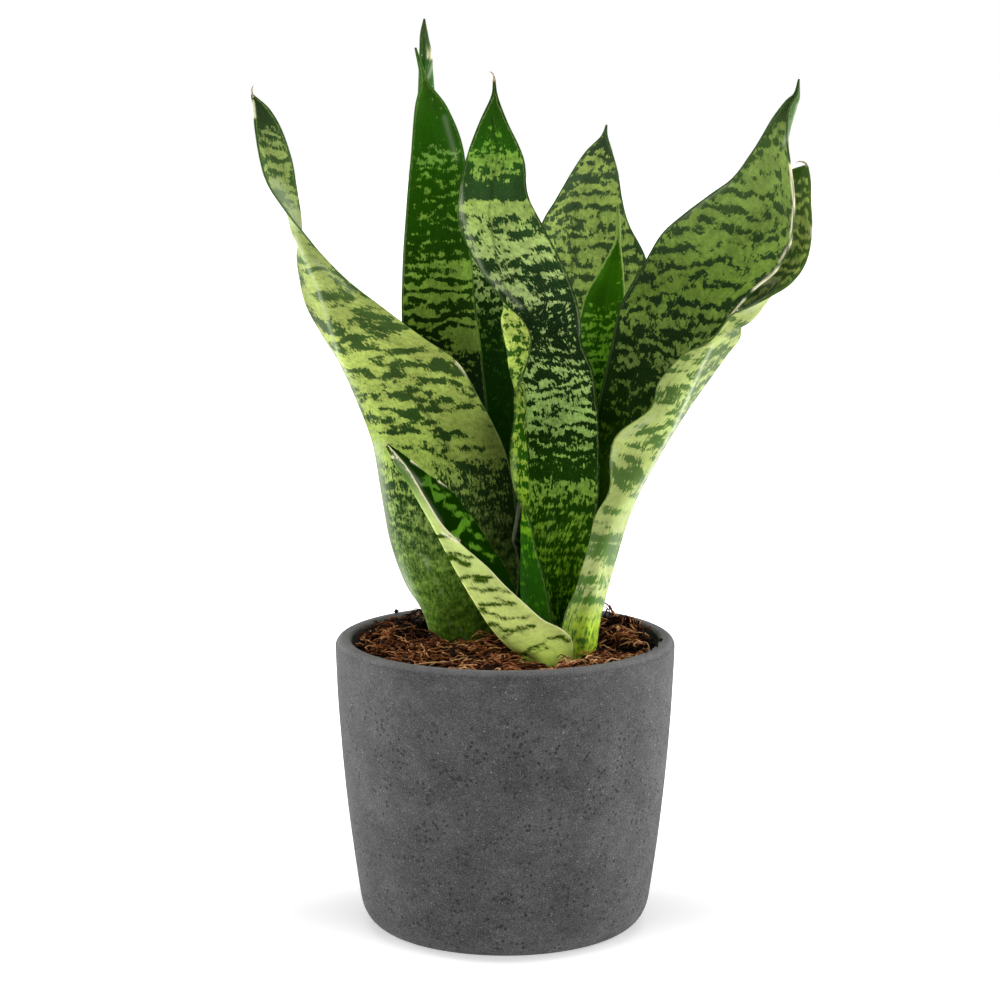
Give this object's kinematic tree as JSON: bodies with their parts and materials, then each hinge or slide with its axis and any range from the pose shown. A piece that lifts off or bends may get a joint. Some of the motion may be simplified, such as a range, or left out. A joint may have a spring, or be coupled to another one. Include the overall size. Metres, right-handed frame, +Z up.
{
  "type": "potted snake plant",
  "caption": "Snake plant with upright, banded, pointed leaves, some twisted or channelled, in a round grey pot filled with coir soil.",
  "frame": {"origin": "centre of the pot's flat base, where it rests", "axes": "+Z up along the pot's axis; the plant's front, as first seen, faces -Y; +X to its right"},
  "size_m": [0.2181, 0.1453, 0.359],
  "materials": {
    "pot": "dark grey cast cement, matt, with fine pale specks and small pits",
    "soil": "dry brown coir crumbs and curled fibres, rough",
    "leaf_pale": "pale yellow-green with thin jagged dark bands, waxy satin",
    "leaf_dark": "dark green with lighter flecked bands, waxy satin",
    "leaf_banded": "mid green with jagged dark bands and pale margins, waxy satin",
    "leaf_young": "bright saturated green with pale flecks and cream margins, waxy satin",
    "dry_sheath": "dried grey-brown sheath, dull and fibrous"
  },
  "bodies": {
    "root": {"pot": "pot", "soil": "soil", "leaf_left_twisted": "leaf_pale", "leaf_left_back": "leaf_dark", "leaf_tall_back": "leaf_dark", "leaf_centre": "leaf_banded", "leaf_right_back": "leaf_banded", "leaf_young": "leaf_young", "leaf_right": "leaf_banded", "leaf_right_outer": "leaf_pale", "leaf_front_small": "leaf_pale", "sheath_small": "dry_sheath"}
  },
  "joints": []
}
